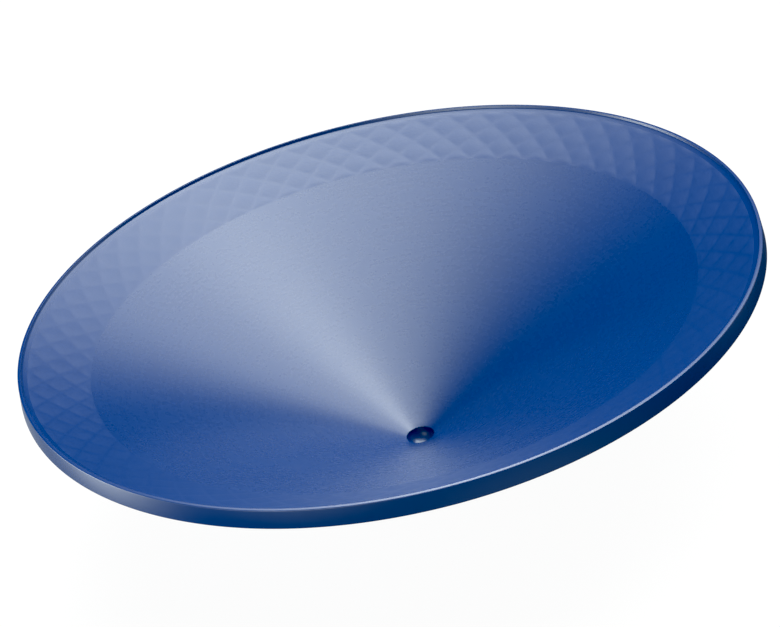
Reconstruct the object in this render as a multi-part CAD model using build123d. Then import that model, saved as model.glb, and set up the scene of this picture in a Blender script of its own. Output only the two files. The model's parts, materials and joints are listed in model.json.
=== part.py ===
from build123d import *
import math
import os

# A spinning plate for juggling and circus skills, lying with its hollow side up. It is a shallow
# plastic cone with a ball-ended socket at its centre, a band of grip pattern inside the rim, and a
# narrow upright edge with a rounded lip. Millimetres, +Z up, the plate's axis on the Z axis.
# The origin is the centre of the flat foot under the socket, which is what the plate stands on.

# Driving dimensions
rim_radius = 120.0              # outer radius of the edge at the height of the lip's top
cone_depth = 60.5               # from the crest of the lip down to the mouth of the socket
shell_thickness = 2.0           # measured square to the shell

socket_radius = 4.65            # straight mouth of the socket that holds the stick's tip
socket_land = 1.2               # length of that straight mouth
socket_ball_radius = 4.9        # ball end below the straight mouth
socket_floor = 2.3              # plastic between the ball end and the recess in the foot

centre_radius = 14.0            # where the centre piece gives way to the plain cone
boss_radius = 10.0              # boss under the socket, where it would meet the back of the cone
foot_radius = 9.4               # flat end of the boss
foot_round = 0.7                # rounding around the flat end
boss_fillet = 2.6               # hollow fillet between the boss and the back of the cone
gate_radius = 2.2               # round recess in the foot, around the stub of the moulding gate
gate_depth = 0.5
stub_radius = 0.9               # the stub stays just inside the recess
stub_height = 0.35

band_inner_radius = 98.8        # where the steeper cone turns into the flatter grip band
band_inner_depth = 10.4         # depth of that corner below the crest of the lip
band_outer_radius = 117.2       # where the grip band gives way to the edge
band_outer_depth = 1.64         # depth of that corner below the crest of the lip

lip_inner_radius = 118.95       # inner edge of the lip's narrow top
lip_inner_angle = 72.0          # slope of the low step up to it, in degrees
lip_inner_round = 0.15          # rounding along that inner edge
lip_cove = 0.7                  # hollow curve from the band up into the step
lip_brow_radius = 119.45        # where the level top starts to fall outwards
lip_brow_round = 2.0            # rounding there
lip_outer_angle = 20.0          # slope of the falling part, in degrees
lip_corner_round = 0.35         # rounding where the top meets the upright edge
lip_height = 3.0                # from the crest down to the split between lip and wall

wall_height = 6.1               # upright edge, from the crest of the lip to its lower end
wall_flare = 0.8                # how much wider the edge is at its lower end
wall_thickness = 2.3            # at its lower end
wall_inner_top_radius = 118.2   # where the inside of the edge meets the back of the grip band
wall_inner_fillet = 0.4         # hollow fillet there
wall_end_round = 0.5            # rounding along both sides of the lower end

# Worked out from the driving dimensions
ball_depth = socket_ball_radius - math.sqrt(socket_ball_radius**2 - socket_radius**2)
mouth_z = gate_depth + socket_floor + ball_depth + socket_land
crest_z = mouth_z + cone_depth
band_inner_z = crest_z - band_inner_depth
band_outer_z = crest_z - band_outer_depth
lip_split_z = crest_z - lip_height
wall_end_z = crest_z - wall_height
wall_end_radius = rim_radius + wall_flare

cone_slope = (band_inner_z - mouth_z) / (band_inner_radius - socket_radius)
band_slope = (band_outer_z - band_inner_z) / (band_outer_radius - band_inner_radius)
cone_drop = shell_thickness * math.hypot(1, cone_slope)    # shell thickness measured along Z
band_drop = shell_thickness * math.hypot(1, band_slope)


def cone_z(radius):
    """Height of the hollow face of the steeper cone at a radius."""
    return mouth_z + cone_slope * (radius - socket_radius)


def band_z(radius):
    """Height of the hollow face of the grip band at a radius."""
    return band_inner_z + band_slope * (radius - band_inner_radius)


def wall_radius(z):
    """Outer radius of the flared edge at a height."""
    return rim_radius + wall_flare * (crest_z - z) / wall_height


def half_section(points, rounds=()):
    """Closed half section through (radius, z) points, with some corners rounded.

    rounds pairs a corner's (radius, z) point with the radius of its rounding, hollow or proud.
    """
    section = make_face(Polyline([(r, 0, z) for r, z in points], close=True)).face()
    for (r, z), round_radius in rounds:
        corner = section.vertices().sort_by_distance((r, 0, z))[0]
        section = section.fillet_2d(round_radius, [corner])
    return section


def turned(section):
    """Solid of revolution of a half section about the plate's axis."""
    return revolve(section, axis=Axis.Z, revolution_arc=360)


def make_tip_boss():
    """Centre of the plate: the socket above, and the boss with its flat foot below."""
    foot_corner = (foot_radius, 0)
    boss_corner = (boss_radius, cone_z(boss_radius) - cone_drop)
    body = turned(half_section(
        [
            (0, 0),
            foot_corner,
            boss_corner,
            (centre_radius, cone_z(centre_radius) - cone_drop),
            (centre_radius, cone_z(centre_radius)),
            (socket_radius, mouth_z),
            (0, mouth_z),
        ],
        rounds=[(foot_corner, foot_round), (boss_corner, boss_fillet)],
    ))
    land_z = mouth_z - socket_land
    mouth = Pos(0, 0, land_z) * Cylinder(
        socket_radius, socket_land, align=(Align.CENTER, Align.CENTER, Align.MIN))
    ball = Pos(0, 0, land_z - ball_depth + socket_ball_radius) * Sphere(socket_ball_radius)
    below_land = Pos(0, 0, land_z) * Cylinder(
        boss_radius, boss_radius, align=(Align.CENTER, Align.CENTER, Align.MAX))
    gate_recess = Cylinder(gate_radius, gate_depth, align=(Align.CENTER, Align.CENTER, Align.MIN))
    stub = Pos(0, 0, gate_depth) * Cylinder(
        stub_radius, stub_height, align=(Align.CENTER, Align.CENTER, Align.MAX))
    return body - mouth - (ball & below_land) - gate_recess + stub


def make_cone_shell():
    """Steeper, plain part of the cone, from the centre piece out to the grip band."""
    return turned(half_section([
        (centre_radius, cone_z(centre_radius) - cone_drop),
        (band_inner_radius, band_inner_z - band_drop),
        (band_inner_radius, band_inner_z),
        (centre_radius, cone_z(centre_radius)),
    ]))


def make_grip_band():
    """Flatter band inside the rim, where the stick starts the plate turning."""
    return turned(half_section([
        (band_inner_radius, band_inner_z - band_drop),
        (band_outer_radius, band_outer_z - band_drop),
        (band_outer_radius, band_outer_z),
        (band_inner_radius, band_inner_z),
    ]))


def crossing(start_a, slope_a, start_b, slope_b):
    """Point where two lines in the half section cross, each given by a point and a slope."""
    r = (start_b[1] - start_a[1] + slope_a * start_a[0] - slope_b * start_b[0]) / (slope_a - slope_b)
    return r, start_a[1] + slope_a * (r - start_a[0])


def make_rim_lip():
    """Narrow lip around the top of the edge, coved on its inside and falling away outwards."""
    band_outer = (band_outer_radius, band_outer_z)
    crest = (lip_inner_radius, crest_z)
    brow = (lip_brow_radius, crest_z)
    outer_fall = -math.tan(math.radians(lip_outer_angle))
    lip_foot = crossing(band_outer, band_slope, crest, math.tan(math.radians(lip_inner_angle)))
    edge_corner = crossing(brow, outer_fall, (rim_radius, crest_z), -wall_height / wall_flare)
    return turned(half_section(
        [
            band_outer,
            lip_foot,
            crest,
            brow,
            edge_corner,
            (wall_radius(lip_split_z), lip_split_z),
            (band_outer_radius, lip_split_z),
        ],
        rounds=[
            (lip_foot, lip_cove),
            (crest, lip_inner_round),
            (brow, lip_brow_round),
            (edge_corner, lip_corner_round),
        ],
    ))


def make_rim_wall():
    """Lower part of the upright edge, hanging clear of the back of the grip band."""
    inner_top = (wall_inner_top_radius, band_z(wall_inner_top_radius) - band_drop)
    end_inner = (wall_end_radius - wall_thickness, wall_end_z)
    end_outer = (wall_end_radius, wall_end_z)
    return turned(half_section(
        [
            (band_outer_radius, lip_split_z),
            (wall_radius(lip_split_z), lip_split_z),
            end_outer,
            end_inner,
            inner_top,
            (band_outer_radius, band_outer_z - band_drop),
        ],
        rounds=[(end_outer, wall_end_round), (end_inner, wall_end_round), (inner_top, wall_inner_fillet)],
    ))


PIECES = {
    "tip_boss": make_tip_boss,
    "cone_shell": make_cone_shell,
    "grip_band": make_grip_band,
    "rim_lip": make_rim_lip,
    "rim_wall": make_rim_wall,
}

os.makedirs("parts", exist_ok=True)
for node, make_piece in PIECES.items():
    export_step(make_piece(), f"parts/{node}.step")
print(f"crest {crest_z:.2f} mm, socket mouth {mouth_z:.2f} mm")
cone_angle, band_angle = (math.degrees(math.atan(slope)) for slope in (cone_slope, band_slope))
print(f"slopes: cone {cone_angle:.1f}, band {band_angle:.1f} degrees")
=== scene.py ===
"""Looks of a juggling spinning plate that stands on its foot with the hollow side up.

The plate is one moulding in one blue plastic. It is built here as its five regions, each turned
about the plate's axis from a half section by Geometry Nodes, and set in a plain pale studio.
Everything is in metres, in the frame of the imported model.
"""

from __future__ import annotations

import json
import logging
import math
from dataclasses import dataclass, field
from enum import Enum
from typing import Any, Iterable, Sequence

import bpy
from mathutils import Matrix, Vector

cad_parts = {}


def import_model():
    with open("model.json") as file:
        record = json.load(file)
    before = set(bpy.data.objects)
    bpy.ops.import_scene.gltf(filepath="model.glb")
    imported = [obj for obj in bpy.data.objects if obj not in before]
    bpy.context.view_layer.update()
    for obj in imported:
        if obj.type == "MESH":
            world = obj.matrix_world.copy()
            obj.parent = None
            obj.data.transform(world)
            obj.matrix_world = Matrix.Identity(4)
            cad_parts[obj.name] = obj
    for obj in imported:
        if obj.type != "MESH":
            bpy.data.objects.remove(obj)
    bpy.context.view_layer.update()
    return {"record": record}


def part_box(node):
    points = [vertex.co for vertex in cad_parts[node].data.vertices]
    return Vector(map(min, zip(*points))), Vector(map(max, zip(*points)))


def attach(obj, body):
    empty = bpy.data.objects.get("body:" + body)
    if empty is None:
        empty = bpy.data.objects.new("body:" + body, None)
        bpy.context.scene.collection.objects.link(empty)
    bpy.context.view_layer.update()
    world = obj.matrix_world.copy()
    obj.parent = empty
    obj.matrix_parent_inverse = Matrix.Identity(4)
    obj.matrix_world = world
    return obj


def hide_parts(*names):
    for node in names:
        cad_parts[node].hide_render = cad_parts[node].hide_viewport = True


log = logging.getLogger("spinning_plate")

MM = 0.001
MERGE_REACH = 0.001 * MM        # points closer than this are one point
ARC_STEP = 11                   # degrees of a rounding for each of its flats
Point = tuple[float, float]
Colour = tuple[float, float, float]


# ---------------------------------------------------------------- nodes


class Signal:
    """A value socket of a node tree that Python's arithmetic operators work on."""

    def __init__(self, bench: "NodeBench", socket: bpy.types.NodeSocket) -> None:
        """Wraps one output socket of the bench's tree."""
        self.bench = bench
        self.socket = socket

    def _math(self, operation: str, *operands: Any) -> "Signal":
        """Adds a Math node.

        Args:
            operation: Name of the Math node's operation.
            operands: Wrapped sockets or numbers, in the node's order.

        Returns:
            The node's result.
        """
        return self.bench.add(
            self.bench.math_kind, {"operation": operation}, dict(enumerate(operands))
        )

    def __add__(self, other: Any) -> "Signal":
        """Sum."""
        return self._math("ADD", self, other)

    def __radd__(self, other: Any) -> "Signal":
        """Sum with a number on the left."""
        return self._math("ADD", other, self)

    def __sub__(self, other: Any) -> "Signal":
        """Difference."""
        return self._math("SUBTRACT", self, other)

    def __rsub__(self, other: Any) -> "Signal":
        """Difference from a number on the left."""
        return self._math("SUBTRACT", other, self)

    def __mul__(self, other: Any) -> "Signal":
        """Product."""
        return self._math("MULTIPLY", self, other)

    def __rmul__(self, other: Any) -> "Signal":
        """Product with a number on the left."""
        return self._math("MULTIPLY", other, self)

    def __truediv__(self, other: Any) -> "Signal":
        """Quotient."""
        return self._math("DIVIDE", self, other)

    def __rtruediv__(self, other: Any) -> "Signal":
        """Quotient of a number on the left."""
        return self._math("DIVIDE", other, self)

    def __gt__(self, other: Any) -> "Signal":
        """1 where this is greater, else 0."""
        return self._math("GREATER_THAN", self, other)

    def floor(self) -> "Signal":
        """Whole part."""
        return self._math("FLOOR", self)

    def fraction(self) -> "Signal":
        """Part after the whole number."""
        return self._math("FRACT", self)

    def exponential(self) -> "Signal":
        """E to this power."""
        return self._math("EXPONENT", self)

    def sine(self) -> "Signal":
        """Sine of an angle in radians."""
        return self._math("SINE", self)

    def cosine(self) -> "Signal":
        """Cosine of an angle in radians."""
        return self._math("COSINE", self)

    def least(self, other: Any) -> "Signal":
        """Smaller of the two."""
        return self._math("MINIMUM", self, other)

    def most(self, other: Any) -> "Signal":
        """Greater of the two."""
        return self._math("MAXIMUM", self, other)

    def angle_from(self, other: Any) -> "Signal":
        """Angle of the point (other, self) round the origin."""
        return self._math("ARCTAN2", self, other)

    def length_with(self, other: "Signal") -> "Signal":
        """Length of the flat vector whose sides are the two values."""
        return self._math("SQRT", self * self + other * other)

    def between(self, low: float, high: float) -> "Signal":
        """Eases from 0 to 1 between two values, and is flat outside them.

        Args:
            low: Where it is 0.
            high: Where it is 1.

        Returns:
            The eased value.
        """
        return self.bench.add(
            "ShaderNodeMapRange",
            {"interpolation_type": "SMOOTHSTEP"},
            {"Value": self, "From Min": low, "From Max": high},
        )


class NodeBench:
    """Adds nodes to one shader or geometry tree."""

    math_kind = "ShaderNodeMath"

    def __init__(self, tree: bpy.types.NodeTree) -> None:
        """Starts on an empty tree."""
        self.tree = tree
        tree.nodes.clear()

    def node(
        self,
        kind: str,
        settings: dict[str, Any] | None = None,
        values: dict[Any, Any] | None = None,
    ) -> bpy.types.Node:
        """Adds a node, sets its settings first, and then its sockets.

        Args:
            kind: The node's type.
            settings: The node's properties.
            values: Socket names or numbers, with a value, a socket or a wrapped socket for each.

        Returns:
            The node.
        """
        made = self.tree.nodes.new(kind)
        for name, setting in (settings or {}).items():
            setattr(made, name, setting)
        open_sockets = [s for s in made.inputs if s.enabled]
        for key, value in (values or {}).items():
            if isinstance(key, int):
                socket = open_sockets[key]
            else:
                socket = next(s for s in open_sockets if s.name == key)
            if isinstance(value, Signal):
                value = value.socket
            if isinstance(value, bpy.types.NodeSocket):
                self.tree.links.new(value, socket)
            else:
                socket.default_value = value
        return made

    def add(
        self,
        kind: str,
        settings: dict[str, Any] | None = None,
        values: dict[Any, Any] | None = None,
        output: str | int = 0,
    ) -> Signal:
        """Adds a node and wraps one of its outputs.

        Args:
            kind: The node's type.
            settings: The node's properties.
            values: The node's socket values and links.
            output: Name of the output, or its number among the ones in use.

        Returns:
            The wrapped output.
        """
        return self.out(self.node(kind, settings, values), output)

    def out(self, made: bpy.types.Node, output: str | int = 0) -> Signal:
        """Wraps an output of a node.

        Args:
            made: The node.
            output: Name of the output, or its number among the ones in use.

        Returns:
            The wrapped output.
        """
        ready = [s for s in made.outputs if s.enabled]
        if isinstance(output, int):
            return Signal(self, ready[output])
        return Signal(self, next(s for s in ready if s.name == output))

    def mix_colours(self, share: Any, first: Any, second: Any) -> Signal:
        """Mixes two colours.

        Args:
            share: Share of the second colour.
            first: First colour, a socket or four numbers.
            second: Second colour, a socket or four numbers.

        Returns:
            The mixed colour.
        """
        return self.add(
            "ShaderNodeMix", {"data_type": "RGBA"}, {"Factor": share, "A": first, "B": second}
        )


class GeometryTree:
    """A Geometry Nodes tree with named inputs."""

    def __init__(self, name: str, inputs: Sequence[tuple[str, str]]) -> None:
        """Makes the tree and its inputs.

        Args:
            name: Name of the tree.
            inputs: Name and socket type of each input after the geometry.
        """
        self.tree = bpy.data.node_groups.new(name, "GeometryNodeTree")
        face = self.tree.interface
        face.new_socket("Geometry", in_out="INPUT", socket_type="NodeSocketGeometry")
        self.identifiers: dict[str, str] = {}
        for label, socket_type in inputs:
            made = face.new_socket(label, in_out="INPUT", socket_type=socket_type)
            self.identifiers[label] = made.identifier
        face.new_socket("Geometry", in_out="OUTPUT", socket_type="NodeSocketGeometry")
        self.bench = NodeBench(self.tree)
        self.entry = self.bench.node("NodeGroupInput")

    def given(self, name: str) -> Signal:
        """One of the tree's inputs."""
        return self.bench.out(self.entry, name)

    def end(self, geometry: Signal) -> None:
        """Closes the tree with Realize Instances and Set Material.

        Args:
            geometry: The finished geometry.
        """
        real = self.bench.add("GeometryNodeRealizeInstances", None, {"Geometry": geometry})
        dressed = self.bench.add(
            "GeometryNodeSetMaterial", None, {"Geometry": real, "Material": self.given("Material")}
        )
        self.bench.node("NodeGroupOutput", None, {"Geometry": dressed})

    def apply_to(self, piece: bpy.types.Object, values: dict[str, Any]) -> None:
        """Puts the tree on a piece, takes its result as a plain mesh and removes the modifier.

        Args:
            piece: The piece, whose mesh is the tree's geometry input.
            values: A value for each named input.
        """
        modifier = piece.modifiers.new(self.tree.name, "NODES")
        modifier.node_group = self.tree
        for name, value in values.items():
            modifier[self.identifiers[name]] = value
        graph = bpy.context.evaluated_depsgraph_get()
        result = bpy.data.meshes.new_from_object(piece.evaluated_get(graph))
        piece.modifiers.remove(modifier)
        rough = piece.data
        piece.data = result
        bpy.data.meshes.remove(rough)
        result.name = piece.name


class TurnedRegionTree(GeometryTree):
    """Turns a half section of points (radius, 0, height) about the Z axis into a closed skin."""

    def __init__(self) -> None:
        """Builds the tree: a grid of segments by section points, wrapped round the axis."""
        super().__init__(
            "turned_region",
            [
                ("Segments", "NodeSocketInt"),
                ("Closed Loop", "NodeSocketInt"),
                ("Corner Angle", "NodeSocketFloat"),
                ("Material", "NodeSocketMaterial"),
            ],
        )
        bench = self.bench
        section = self.given("Geometry")
        segments = self.given("Segments")
        points = bench.add(
            "GeometryNodeAttributeDomainSize", {"component": "MESH"}, {"Geometry": section}
        )
        rings = points + self.given("Closed Loop")
        grid = bench.add(
            "GeometryNodeMeshGrid",
            None,
            {"Size X": 1.0, "Size Y": 1.0, "Vertices X": segments + 1, "Vertices Y": rings},
        )
        index = bench.add("GeometryNodeInputIndex")
        column = (index / rings).floor()
        row = index - column * rings
        position = bench.add("GeometryNodeInputPosition")
        on_section = bench.add(
            "GeometryNodeSampleIndex",
            {"data_type": "FLOAT_VECTOR", "domain": "POINT"},
            {"Geometry": section, "Value": position, "Index": row - points * (row / points).floor()},
        )
        split = bench.node("ShaderNodeSeparateXYZ", None, {"Vector": on_section})
        radius, height = bench.out(split, "X"), bench.out(split, "Z")
        angle = column * math.tau / segments
        place = bench.add(
            "ShaderNodeCombineXYZ",
            None,
            {"X": radius * angle.cosine(), "Y": radius * angle.sine(), "Z": height},
        )
        wrapped = bench.add("GeometryNodeSetPosition", None, {"Geometry": grid, "Position": place})
        closed = bench.add(
            "GeometryNodeMergeByDistance", None, {"Geometry": wrapped, "Distance": MERGE_REACH}
        )
        smooth = bench.add(
            "GeometryNodeSetShadeSmooth", {"domain": "FACE"}, {"Geometry": closed, "Shade Smooth": True}
        )
        fold = bench.add("GeometryNodeInputMeshEdgeAngle", output="Unsigned Angle")
        creased = bench.add(
            "GeometryNodeSetShadeSmooth",
            {"domain": "EDGE"},
            {
                "Geometry": smooth,
                "Selection": fold > self.given("Corner Angle"),
                "Shade Smooth": False,
            },
        )
        self.end(creased)


class DiamondReliefTree(GeometryTree):
    """Raises low pillow-shaped diamonds on the hollow face of the grip band."""

    face_reach = 0.5 * MM

    def __init__(self) -> None:
        """Builds the tree, which moves only the points of the band's upper face, along Z."""
        super().__init__(
            "diamond_relief",
            [
                ("Diamonds Round", "NodeSocketFloat"),
                ("Row Pitch", "NodeSocketFloat"),
                ("First Row Radius", "NodeSocketFloat"),
                ("First Row Height", "NodeSocketFloat"),
                ("Last Radius", "NodeSocketFloat"),
                ("Fade Run", "NodeSocketFloat"),
                ("Relief", "NodeSocketFloat"),
                ("Cone Slope", "NodeSocketFloat"),
                ("Band Slope", "NodeSocketFloat"),
                ("Material", "NodeSocketMaterial"),
            ],
        )
        bench = self.bench
        split = bench.node(
            "ShaderNodeSeparateXYZ", None, {"Vector": bench.add("GeometryNodeInputPosition")}
        )
        x, y, z = (bench.out(split, axis) for axis in "XYZ")
        radius = x.length_with(y)
        out_along = radius - self.given("First Row Radius")
        turns = y.angle_from(x) * self.given("Diamonds Round") / math.tau
        rows = out_along / self.given("Row Pitch")
        one_way = 2.0 * (turns + rows / 2.0).fraction() - 1.0
        other_way = 2.0 * (turns - rows / 2.0).fraction() - 1.0
        pillow = (1.0 - one_way * one_way) * (1.0 - other_way * other_way)
        fade = ((self.given("Last Radius") - radius) / self.given("Fade Run")).most(0.0).least(1.0)
        raised = self.given("Relief") * pillow * fade
        # The steeper cone runs on between the first row's tips until it meets the pillows.
        under_cone = out_along * (self.given("Cone Slope") - self.given("Band Slope"))
        face_height = self.given("First Row Height") + out_along * self.given("Band Slope")
        on_face = z > face_height - self.face_reach
        lift = bench.add("ShaderNodeCombineXYZ", None, {"Z": raised.least(under_cone).most(0.0)})
        moved = bench.add(
            "GeometryNodeSetPosition",
            None,
            {"Geometry": self.given("Geometry"), "Selection": on_face, "Offset": lift},
        )
        self.end(moved)


# ---------------------------------------------------------------- finishes


class Slot(Enum):
    """The record's material slots."""

    FACE = "grained_face_plastic"
    EDGE = "satin_edge_plastic"


@dataclass(frozen=True)
class MouldedPlastic:
    """Royal blue polypropylene as it comes from the mould.

    Sizes are in metres. Texture sizes are the width of one feature.
    """

    name: str
    slot: Slot
    colour: Colour
    worn_colour: Colour
    roughness: float
    roughness_spread: float
    grain_size: float
    grain_height: float
    ripple_size: float
    ripple_height: float
    flow_share: float
    ior: float = 1.6
    cloud_size: float = 26 * MM
    mottle_size: float = 2.6 * MM
    flow_size: float = 11 * MM
    flow_stretch: float = 9.0

    def material(self) -> bpy.types.Material:
        """Builds the finish.

        Returns:
            The material, with its colour, roughness and bump read from Object coordinates.
        """
        made = bpy.data.materials.new(self.name)
        made.use_nodes = True
        bench = NodeBench(made.node_tree)
        place = bench.add("ShaderNodeTexCoord", output="Object")
        split = bench.node("ShaderNodeSeparateXYZ", None, {"Vector": place})
        x, y = bench.out(split, "X"), bench.out(split, "Y")
        radius = x.length_with(y)

        clouds = self._noise(bench, place, self.cloud_size, 3.0, 0.55)
        mottle = self._noise(bench, place, self.mottle_size, 2.0, 0.6)
        # Flow of the plastic out from the gate, seen as faint rings.
        flow_place = bench.add(
            "ShaderNodeCombineXYZ", None, {"X": radius * self.flow_stretch, "Y": x, "Z": y}
        )
        flow = self._noise(bench, flow_place, self.flow_size, 2.0, 0.5)
        grain = self._noise(bench, place, self.grain_size, 2.0, 0.6)
        ripple = self._noise(bench, place, self.ripple_size, 1.0, 0.5)

        tint = (clouds * 0.5 + mottle * 0.3 + flow * self.flow_share).between(0.25, 0.75)
        colour = bench.mix_colours(tint, (*self.colour, 1.0), (*self.worn_colour, 1.0))
        uneven = self.roughness_spread * (mottle * 0.6 + clouds * 0.4 + flow * 0.4 - 0.7)
        rough = self.roughness + uneven - self.polish(x, y, radius)
        fine_bump = bench.add(
            "ShaderNodeBump",
            None,
            {"Strength": 1.0, "Distance": self.grain_height, "Height": grain},
            "Normal",
        )
        bump = bench.add(
            "ShaderNodeBump",
            None,
            {
                "Strength": 1.0,
                "Distance": self.ripple_height,
                "Height": ripple + self.flow_share * flow,
                "Normal": fine_bump,
            },
            "Normal",
        )
        shader = bench.add(
            "ShaderNodeBsdfPrincipled",
            None,
            {"Base Color": colour, "Roughness": rough, "Normal": bump, "IOR": self.ior},
        )
        bench.node("ShaderNodeOutputMaterial", None, {"Surface": shader})
        return made

    def polish(self, x: Signal, y: Signal, radius: Signal) -> Signal | float:
        """How much smoother the face is at a place. A plain finish is the same everywhere."""
        return 0.0

    @staticmethod
    def _noise(
        bench: NodeBench, place: Signal, size: float, detail: float, roughness: float
    ) -> Signal:
        """Adds a noise.

        Args:
            bench: The material's bench.
            place: Coordinates in metres.
            size: Width of one feature in metres.
            detail: Number of finer octaves.
            roughness: Strength of the finer octaves.

        Returns:
            The noise, about 0.5 on average.
        """
        return bench.add(
            "ShaderNodeTexNoise",
            None,
            {"Vector": place, "Scale": 1.0 / size, "Detail": detail, "Roughness": roughness},
        )


@dataclass(frozen=True)
class DiamondPlastic(MouldedPlastic):
    """The same plastic with the grip band's diamonds, whose grooves are smoother than their faces."""

    diamonds: int = 60
    row_pitch: float = 4.48 * MM
    first_row_radius: float = 98.8 * MM
    groove_polish: float = 0.05

    def polish(self, x: Signal, y: Signal, radius: Signal) -> Signal:
        """Follows the grooves between the diamonds.

        Args:
            x: Place along X.
            y: Place along Y.
            radius: Distance from the plate's axis.

        Returns:
            The polish, full in the grooves and none on the diamonds' faces.
        """
        turns = y.angle_from(x) * (self.diamonds / math.tau)
        rows = (radius - self.first_row_radius) / self.row_pitch
        one_way = 2.0 * (turns + rows / 2.0).fraction() - 1.0
        other_way = 2.0 * (turns - rows / 2.0).fraction() - 1.0
        nearness = (one_way * one_way).most(other_way * other_way)
        return self.groove_polish * nearness.between(0.5, 1.0)


FACE_PLASTIC = MouldedPlastic(
    name="grained_blue_face",
    slot=Slot.FACE,
    colour=(0.001, 0.026, 0.150),
    worn_colour=(0.002, 0.030, 0.161),
    roughness=0.275,
    roughness_spread=0.06,
    grain_size=0.6 * MM,
    grain_height=0.024 * MM,
    ripple_size=3.2 * MM,
    ripple_height=0.010 * MM,
    flow_share=0.25,
)

BAND_PLASTIC = DiamondPlastic(
    name="grained_blue_band",
    slot=Slot.FACE,
    colour=(0.001, 0.026, 0.150),
    worn_colour=(0.002, 0.030, 0.162),
    roughness=0.36,
    roughness_spread=0.09,
    grain_size=0.6 * MM,
    grain_height=0.024 * MM,
    ripple_size=5.0 * MM,
    ripple_height=0.014 * MM,
    flow_share=0.35,
    ior=1.57,
)

EDGE_PLASTIC = MouldedPlastic(
    name="satin_blue_edge",
    slot=Slot.EDGE,
    colour=(0.001, 0.026, 0.150),
    worn_colour=(0.002, 0.030, 0.161),
    roughness=0.25,
    roughness_spread=0.05,
    grain_size=0.35 * MM,
    grain_height=0.004 * MM,
    ripple_size=4.0 * MM,
    ripple_height=0.006 * MM,
    flow_share=0.15,
)


@dataclass(frozen=True)
class PaleBoard:
    """Smooth white board that the plate stands on."""

    name: str = "pale_board"
    colour: Colour = (0.05, 0.05, 0.05)
    glow: float = 0.96

    def material(self) -> bpy.types.Material:
        """Builds the finish.

        Returns:
            The material of the board.
        """
        made = bpy.data.materials.new(self.name)
        made.use_nodes = True
        bench = NodeBench(made.node_tree)
        shader = bench.add(
            "ShaderNodeBsdfPrincipled",
            None,
            {
                "Base Color": (*self.colour, 1.0),
                "Roughness": 0.9,
                "Specular IOR Level": 0.0,
                "Emission Color": (1.0, 1.0, 1.0, 1.0),
                "Emission Strength": self.glow,
            },
        )
        bench.node("ShaderNodeOutputMaterial", None, {"Surface": shader})
        return made


# ---------------------------------------------------------------- half sections


class Outline(Enum):
    """How a half section closes."""

    LOOP = 1
    AXIS_TO_AXIS = 0


@dataclass
class HalfSection:
    """Corners of a half section, in order from the underside outwards and up, in metres."""

    corners: list[Point]
    outline: Outline = Outline.LOOP
    rounds: dict[int, float] = field(default_factory=dict)
    steps: dict[int, int] = field(default_factory=dict)

    def points(self) -> list[Point]:
        """Works out the section's points.

        Returns:
            The points, with the rounded corners as arcs and the divided sides in equal steps.
        """
        made: list[Point] = []
        count = len(self.corners)
        for i, corner in enumerate(self.corners):
            radius = self.rounds.get(i, 0.0)
            if radius:
                before, after = self.corners[i - 1], self.corners[(i + 1) % count]
                made.extend(self._arc(before, corner, after, radius))
            else:
                made.append(corner)
            parts = self.steps.get(i, 1)
            start, end = made[-1], self.corners[(i + 1) % count]
            for k in range(1, parts):
                share = k / parts
                made.append(tuple(a + (b - a) * share for a, b in zip(start, end)))
        return made

    @staticmethod
    def _arc(before: Point, corner: Point, after: Point, radius: float) -> Iterable[Point]:
        """Rounds one corner.

        Args:
            before: Corner before it.
            corner: The corner.
            after: Corner after it.
            radius: Radius of the rounding.

        Returns:
            The points of the arc, from the first side to the second.
        """
        at = Vector(corner)
        back = (Vector(before) - at).normalized()
        on = (Vector(after) - at).normalized()
        half = back.angle(on) / 2
        centre = at + (back + on).normalized() * (radius / math.sin(half))
        start = at + back * (radius / math.tan(half)) - centre
        turn = (math.pi - 2 * half) * math.copysign(1.0, back.y * on.x - back.x * on.y)
        parts = max(4, round(abs(math.degrees(turn)) / ARC_STEP))
        for k in range(parts + 1):
            yield tuple(centre + Matrix.Rotation(turn * k / parts, 2) @ start)


def crossing(start_a: Point, slope_a: float, start_b: Point, slope_b: float) -> Point:
    """Finds where two lines of a half section cross.

    Args:
        start_a: A point of the first line.
        slope_a: Its slope.
        start_b: A point of the second line.
        slope_b: Its slope.

    Returns:
        The point on both lines.
    """
    r = (start_b[1] - start_a[1] + slope_a * start_a[0] - slope_b * start_b[0]) / (slope_a - slope_b)
    return r, start_a[1] + slope_a * (r - start_a[0])


# ---------------------------------------------------------------- the plate


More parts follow.
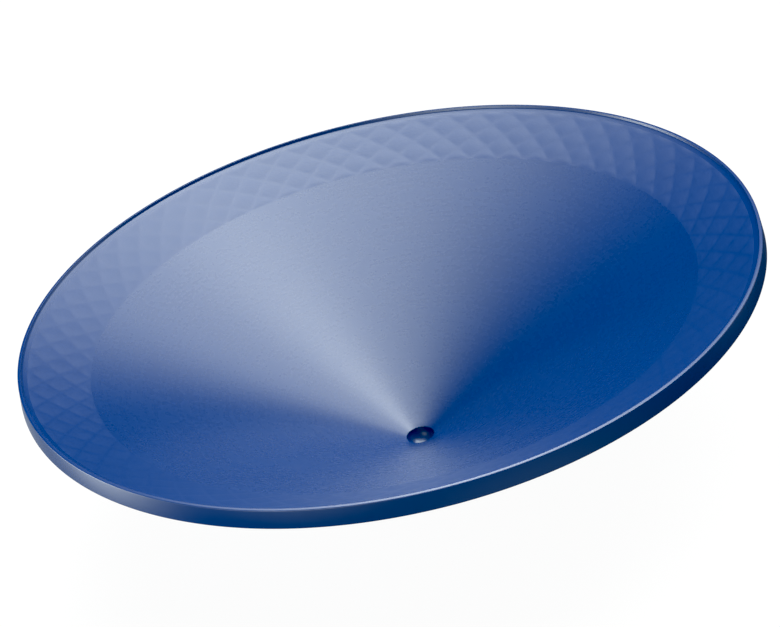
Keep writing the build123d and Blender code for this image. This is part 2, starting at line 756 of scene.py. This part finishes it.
@dataclass(frozen=True)
class PlateSizes:
    """Sizes of the plate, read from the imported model, in metres."""

    crest_z: float
    wall_end_z: float
    lip_split_z: float
    band_outer: Point
    band_inner: Point
    centre_edge: Point
    band_drop: float
    cone_drop: float
    socket_radius: float
    socket_land: float

    @classmethod
    def from_frame(cls, record: dict[str, Any]) -> "PlateSizes":
        """Reads the sizes from the boxes of the CAD nodes and the record's socket.

        Args:
            record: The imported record.

        Returns:
            The sizes.
        """
        boxes = {n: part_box(n) for n in ("tip_boss", "cone_shell", "grip_band", "rim_lip", "rim_wall")}
        socket = next(m for m in record["mounts"] if m["name"] == "tip_socket")["dims"]

        def top_edge(node: str) -> Point:
            """Outer radius and top height of a node."""
            return boxes[node][1].x, boxes[node][1].z

        return cls(
            crest_z=boxes["rim_lip"][1].z,
            wall_end_z=boxes["rim_wall"][0].z,
            lip_split_z=boxes["rim_lip"][0].z,
            band_outer=top_edge("grip_band"),
            band_inner=top_edge("cone_shell"),
            centre_edge=top_edge("tip_boss"),
            band_drop=boxes["cone_shell"][1].z - boxes["grip_band"][0].z,
            cone_drop=boxes["tip_boss"][1].z - boxes["cone_shell"][0].z,
            socket_radius=socket["r_mm"] * MM,
            socket_land=socket["length_mm"] * MM,
        )

    @property
    def cone_slope(self) -> float:
        """Rise of the steeper cone for each metre outwards."""
        (r0, z0), (r1, z1) = self.centre_edge, self.band_inner
        return (z1 - z0) / (r1 - r0)

    @property
    def band_slope(self) -> float:
        """Rise of the grip band for each metre outwards."""
        (r0, z0), (r1, z1) = self.band_inner, self.band_outer
        return (z1 - z0) / (r1 - r0)

    def cone_z(self, radius: float) -> float:
        """Height of the cone's hollow face at a radius."""
        return self.centre_edge[1] + self.cone_slope * (radius - self.centre_edge[0])

    def band_z(self, radius: float) -> float:
        """Height of the grip band's hollow face at a radius."""
        return self.band_inner[1] + self.band_slope * (radius - self.band_inner[0])


@dataclass
class Region:
    """One region of the moulding, turned from a half section."""

    sizes: PlateSizes
    node: str = ""
    finish: MouldedPlastic = FACE_PLASTIC
    segments: int = 960
    corner_angle: float = math.radians(24)

    def half_section(self) -> HalfSection:
        """Gives the region's half section."""
        raise NotImplementedError

    def build(self, turned: TurnedRegionTree, material: bpy.types.Material) -> bpy.types.Object:
        """Builds the region's mesh, dresses it and puts it on the plate's body.

        Args:
            turned: The tree that turns half sections.
            material: The region's finish.

        Returns:
            The finished piece.
        """
        section = self.half_section()
        rough = bpy.data.meshes.new(f"{self.node}_section")
        rough.from_pydata([(r, 0.0, z) for r, z in section.points()], [], [])
        piece = bpy.data.objects.new(f"moulded_{self.node}", rough)
        bpy.context.scene.collection.objects.link(piece)
        turned.apply_to(
            piece,
            {
                "Segments": self.segments,
                "Closed Loop": section.outline.value,
                "Corner Angle": self.corner_angle,
                "Material": material,
            },
        )
        self.refine(piece, material)
        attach(piece, "root")
        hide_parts(self.node)
        log.info("%s: %d faces", piece.name, len(piece.data.polygons))
        return piece

    def refine(self, piece: bpy.types.Object, material: bpy.types.Material) -> None:
        """Adds what the half section alone can't give. A plain region needs nothing."""


@dataclass
class CentreBoss(Region):
    """Centre of the plate, with the ball-ended socket above and the boss with its foot below."""

    node: str = "tip_boss"
    segments: int = 240
    foot_radius: float = 9.4 * MM
    foot_round: float = 0.7 * MM
    boss_radius: float = 10.0 * MM
    boss_fillet: float = 2.6 * MM
    gate_radius: float = 2.2 * MM
    gate_depth: float = 0.5 * MM
    stub_radius: float = 0.9 * MM
    stub_height: float = 0.35 * MM
    stub_round: float = 0.1 * MM
    gate_round: float = 0.12 * MM
    mouth_round: float = 0.12 * MM
    ball_radius: float = 4.9 * MM
    ball_steps: int = 22

    def half_section(self) -> HalfSection:
        """Gives the section from the stub in the foot, round the boss, to the floor of the socket.

        Returns:
            The half section, from axis to axis.
        """
        s = self.sizes
        mouth_z = s.cone_z(s.socket_radius)
        land_z = mouth_z - s.socket_land
        centre_z = land_z + math.sqrt(self.ball_radius**2 - s.socket_radius**2)
        widest = math.atan2(land_z - centre_z, s.socket_radius)
        ball = []
        for k in range(1, self.ball_steps + 1):
            angle = widest + (-math.pi / 2 - widest) * k / self.ball_steps
            radius = 0.0 if k == self.ball_steps else self.ball_radius * math.cos(angle)
            ball.append((radius, centre_z + self.ball_radius * math.sin(angle)))
        stub_z = self.gate_depth - self.stub_height
        edge_r, edge_z = s.centre_edge
        corners = [
            (0.0, stub_z),
            (self.stub_radius, stub_z),
            (self.stub_radius, self.gate_depth),
            (self.gate_radius, self.gate_depth),
            (self.gate_radius, 0.0),
            (self.foot_radius, 0.0),
            (self.boss_radius, s.cone_z(self.boss_radius) - s.cone_drop),
            (edge_r, edge_z - s.cone_drop),
            (edge_r, edge_z),
            (s.socket_radius, mouth_z),
            (s.socket_radius, land_z),
            *ball,
        ]
        rounds = {
            1: self.stub_round,
            4: self.gate_round,
            5: self.foot_round,
            6: self.boss_fillet,
            9: self.mouth_round,
        }
        return HalfSection(corners, Outline.AXIS_TO_AXIS, rounds, {5: 3, 8: 6})


@dataclass
class PlainCone(Region):
    """The steeper, plain part of the cone."""

    node: str = "cone_shell"

    def half_section(self) -> HalfSection:
        """Gives the section of the cone's shell, divided along both of its faces.

        Returns:
            The half section, a closed loop.
        """
        s = self.sizes
        (r0, z0), (r1, z1) = s.centre_edge, s.band_inner
        corners = [(r0, z0 - s.cone_drop), (r1, z1 - s.band_drop), (r1, z1), (r0, z0)]
        return HalfSection(corners, steps={0: 24, 2: 36})


@dataclass
class GripBand(Region):
    """The flatter band inside the rim, covered with low diamonds."""

    node: str = "grip_band"
    finish: MouldedPlastic = BAND_PLASTIC
    diamonds: int = 60
    row_pitch: float = 4.48 * MM
    relief: float = 0.08 * MM
    fade_run: float = 1.0 * MM
    steps_per_row: int = 8

    def half_section(self) -> HalfSection:
        """Gives the section of the band's shell, whose hollow face has whole steps in each row.

        Returns:
            The half section, a closed loop.
        """
        s = self.sizes
        (r0, z0), (r1, z1) = s.band_inner, s.band_outer
        step = self.row_pitch / self.steps_per_row
        whole = math.floor((r1 - r0) / step)
        last = r0 + whole * step
        corners = [
            (r0, z0 - s.band_drop),
            (r1, z1 - s.band_drop),
            (r1, z1),
            (last, s.band_z(last)),
            (r0, z0),
        ]
        return HalfSection(corners, steps={0: 12, 3: whole})

    def refine(self, piece: bpy.types.Object, material: bpy.types.Material) -> None:
        """Raises the diamonds.

        Args:
            piece: The turned band.
            material: The band's finish.
        """
        s = self.sizes
        DiamondReliefTree().apply_to(
            piece,
            {
                "Diamonds Round": float(self.diamonds),
                "Row Pitch": self.row_pitch,
                "First Row Radius": s.band_inner[0],
                "First Row Height": s.band_inner[1],
                "Last Radius": s.band_outer[0],
                "Fade Run": self.fade_run,
                "Relief": self.relief,
                "Cone Slope": s.cone_slope,
                "Band Slope": s.band_slope,
                "Material": material,
            },
        )


@dataclass
class RimEdge(Region):
    """What the lip and the wall share: the flared outer face of the upright edge."""

    finish: MouldedPlastic = EDGE_PLASTIC
    rim_radius: float = 120.0 * MM
    wall_flare: float = 0.8 * MM

    def outer_radius(self, height: float) -> float:
        """Outer radius of the edge at a height."""
        s = self.sizes
        return self.rim_radius + self.wall_flare * (s.crest_z - height) / (s.crest_z - s.wall_end_z)


@dataclass
class RimLip(RimEdge):
    """The narrow lip on top of the edge, coved on its inside and falling away outwards."""

    node: str = "rim_lip"
    inner_radius: float = 118.95 * MM
    inner_angle: float = math.radians(72)
    inner_round: float = 0.15 * MM
    cove: float = 0.7 * MM
    brow_radius: float = 119.45 * MM
    brow_round: float = 2.0 * MM
    outer_angle: float = math.radians(20)
    corner_round: float = 0.35 * MM

    def half_section(self) -> HalfSection:
        """Gives the section of the lip.

        Returns:
            The half section, a closed loop.
        """
        s = self.sizes
        band_r, band_z = s.band_outer
        crest, brow = (self.inner_radius, s.crest_z), (self.brow_radius, s.crest_z)
        flare = -(s.crest_z - s.wall_end_z) / self.wall_flare
        corners = [
            (band_r, s.lip_split_z),
            (self.outer_radius(s.lip_split_z), s.lip_split_z),
            crossing(brow, -math.tan(self.outer_angle), (self.rim_radius, s.crest_z), flare),
            brow,
            crest,
            crossing((band_r, band_z), s.band_slope, crest, math.tan(self.inner_angle)),
            (band_r, band_z),
        ]
        rounds = {2: self.corner_round, 3: self.brow_round, 4: self.inner_round, 5: self.cove}
        return HalfSection(corners, rounds=rounds)


@dataclass
class RimWall(RimEdge):
    """The lower part of the upright edge, clear of the back of the grip band."""

    node: str = "rim_wall"
    thickness: float = 2.3 * MM
    inner_top_radius: float = 118.2 * MM
    inner_fillet: float = 0.4 * MM
    end_round: float = 0.5 * MM

    def half_section(self) -> HalfSection:
        """Gives the section of the wall.

        Returns:
            The half section, a closed loop.
        """
        s = self.sizes
        band_r, band_z = s.band_outer
        end_r = self.outer_radius(s.wall_end_z)
        corners = [
            (band_r, band_z - s.band_drop),
            (self.inner_top_radius, s.band_z(self.inner_top_radius) - s.band_drop),
            (end_r - self.thickness, s.wall_end_z),
            (end_r, s.wall_end_z),
            (self.outer_radius(s.lip_split_z), s.lip_split_z),
            (band_r, s.lip_split_z),
        ]
        return HalfSection(corners, rounds={1: self.inner_fillet, 2: self.end_round, 3: self.end_round})


class SpinningPlate:
    """The whole moulding, region by region."""

    def __init__(self, record: dict[str, Any]) -> None:
        """Reads the sizes and lists the regions.

        Args:
            record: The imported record.
        """
        sizes = PlateSizes.from_frame(record)
        self.regions: list[Region] = [
            CentreBoss(sizes), PlainCone(sizes), GripBand(sizes), RimWall(sizes), RimLip(sizes),
        ]

    def build(self) -> list[bpy.types.Object]:
        """Builds every region.

        Returns:
            The finished pieces.
        """
        turned = TurnedRegionTree()
        materials = {f.name: f.material() for f in (FACE_PLASTIC, BAND_PLASTIC, EDGE_PLASTIC)}
        return [r.build(turned, materials[r.finish.name]) for r in self.regions]


# ---------------------------------------------------------------- studio


@dataclass(frozen=True)
class SoftGlow:
    """A large soft light in the surroundings, too far away to cast a hard edge.

    Azimuth is counted from +X towards +Y, and elevation up from the floor. Spread is the angle from
    its middle at which it has dimmed to six tenths. All three are in degrees.
    """

    name: str
    azimuth: float
    elevation: float
    spread: float
    strength: float
    colour: Colour = (0.97, 1.04, 1.0)

    def shade(self, bench: NodeBench, direction: Signal) -> Signal:
        """Adds the light to the surroundings.

        Args:
            bench: The bench of the world's tree.
            direction: The direction looked in.

        Returns:
            The light's background shader.
        """
        around, up = math.radians(self.azimuth), math.radians(self.elevation)
        way = (math.cos(around) * math.cos(up), math.sin(around) * math.cos(up), math.sin(up))
        facing = bench.add(
            "ShaderNodeVectorMath", {"operation": "DOT_PRODUCT"}, {0: direction, 1: way}, "Value"
        )
        sharpness = 1.0 / math.radians(self.spread) ** 2
        glow = ((facing - 1.0) * sharpness).exponential() * self.strength
        return bench.add(
            "ShaderNodeBackground", None, {"Color": (*self.colour, 1.0), "Strength": glow}
        )


@dataclass(frozen=True)
class StudioCamera:
    """A long lens that looks down on the plate, rolled a little."""

    lens: float = 101.54
    sensor: float = 36.0
    elevation: float = 30.12
    roll: float = -13.51
    rim_place: tuple[float, float, float] = (-0.00212, 0.01061, -0.70132)

    def stand(self, rim_centre: Vector) -> bpy.types.Object:
        """Stands the camera in front of the plate.

        Args:
            rim_centre: Centre of the rim's crest.

        Returns:
            The camera, which is the scene's camera.
        """
        data = bpy.data.cameras.new("studio_camera")
        data.sensor_width, data.lens = self.sensor, self.lens
        data.clip_start, data.clip_end = 0.01, 50.0
        turn = Matrix.Rotation(math.radians(90 - self.elevation), 3, "X") @ Matrix.Rotation(
            math.radians(self.roll), 3, "Z"
        )
        camera = bpy.data.objects.new("studio_camera", data)
        camera.rotation_euler = turn.to_euler()
        camera.location = rim_centre - turn @ Vector(self.rim_place)
        bpy.context.scene.collection.objects.link(camera)
        bpy.context.scene.camera = camera
        return camera


@dataclass(frozen=True)
class Studio:
    """Pale board, soft lights and white surroundings."""

    board_radius: float = 3.0
    board: PaleBoard = PaleBoard()
    haze: Colour = (0.020, 0.010, 0.008)
    surround: float = 0.02
    glows: tuple[SoftGlow, ...] = (
        SoftGlow("overhead", 80.0, 75.0, 14.0, 6.3),
        SoftGlow("back_high", 105.0, 60.0, 10.0, 2.5),
        SoftGlow("right_high", 15.0, 60.0, 10.0, 8.2),
        SoftGlow("back_right", 45.0, 40.0, 10.0, 3.8),
        SoftGlow("behind", 84.0, 53.0, 6.0, 11.0),
        SoftGlow("behind_right", 70.0, 34.0, 6.0, 0.8),
        SoftGlow("low_left", 170.0, -2.0, 12.0, 10.4),
        SoftGlow("front_left", -130.0, 15.0, 15.0, 4.5),
        SoftGlow("low_right", 20.0, 10.0, 14.0, 1.8),
        SoftGlow("back_left_below", 115.0, -28.0, 20.0, 0.5),
        SoftGlow("front_right_below", -65.0, -32.0, 24.0, 0.6, (0.85, 1.0, 1.1)),
    )

    def lay_board(self) -> bpy.types.Object:
        """Lays the board that the plate stands on.

        Returns:
            The board, a thin disc whose top is at the plate's foot.
        """
        corners = 96
        ring = [
            (self.board_radius * math.cos(math.tau * k / corners),
             self.board_radius * math.sin(math.tau * k / corners), 0.0)
            for k in range(corners)
        ]
        mesh = bpy.data.meshes.new("board")
        mesh.from_pydata(ring, [], [tuple(range(corners))])
        mesh.materials.append(self.board.material())
        board = bpy.data.objects.new("board", mesh)
        board.visible_diffuse = board.visible_glossy = board.visible_shadow = False
        bpy.context.scene.collection.objects.link(board)
        return board

    def light_surround(self) -> None:
        """Makes the surroundings white to the camera, with the soft lights in them otherwise."""
        world = bpy.data.worlds.new("studio_surround")
        world.use_nodes = True
        bpy.context.scene.world = world
        bench = NodeBench(world.node_tree)
        direction = bench.add("ShaderNodeTexCoord", output="Generated")
        total = bench.add(
            "ShaderNodeBackground", None, {"Color": (1.0, 1.0, 1.0, 1.0), "Strength": self.surround}
        )
        for glow in self.glows:
            total = bench.add("ShaderNodeAddShader", None, {0: total, 1: glow.shade(bench, direction)})
        seen = bench.add("ShaderNodeLightPath", output="Is Camera Ray")
        white = bench.add("ShaderNodeBackground", None, {"Color": (1.0, 1.0, 1.0, 1.0)})
        mixed = bench.add("ShaderNodeMixShader", None, {0: seen, 1: total, 2: white})
        bench.node("ShaderNodeOutputWorld", None, {"Surface": mixed})

    def set_up(self, rim_centre: Vector) -> None:
        """Sets up the board, the lights, the surroundings and the camera.

        Args:
            rim_centre: Centre of the rim's crest.
        """
        self.lay_board()
        self.light_surround()
        StudioCamera().stand(rim_centre)
        self.grade()

    def grade(self) -> None:
        """Shows colours plainly, with the haze taken out of the darkest blues."""
        view = bpy.context.scene.view_settings
        view.view_transform = "Standard"
        view.use_curve_mapping = True
        view.curve_mapping.black_level = self.haze
        view.curve_mapping.update()


def main() -> None:
    """Loads the frame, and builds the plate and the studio."""
    logging.basicConfig(level=logging.INFO, format="%(name)s: %(message)s")
    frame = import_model()
    for piece in SpinningPlate(frame["record"]).build():
        log.info("%s is on the plate's body", piece.name)
    Studio().set_up(Vector((0.0, 0.0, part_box("rim_lip")[1].z)))


if __name__ == "__main__":
    main()
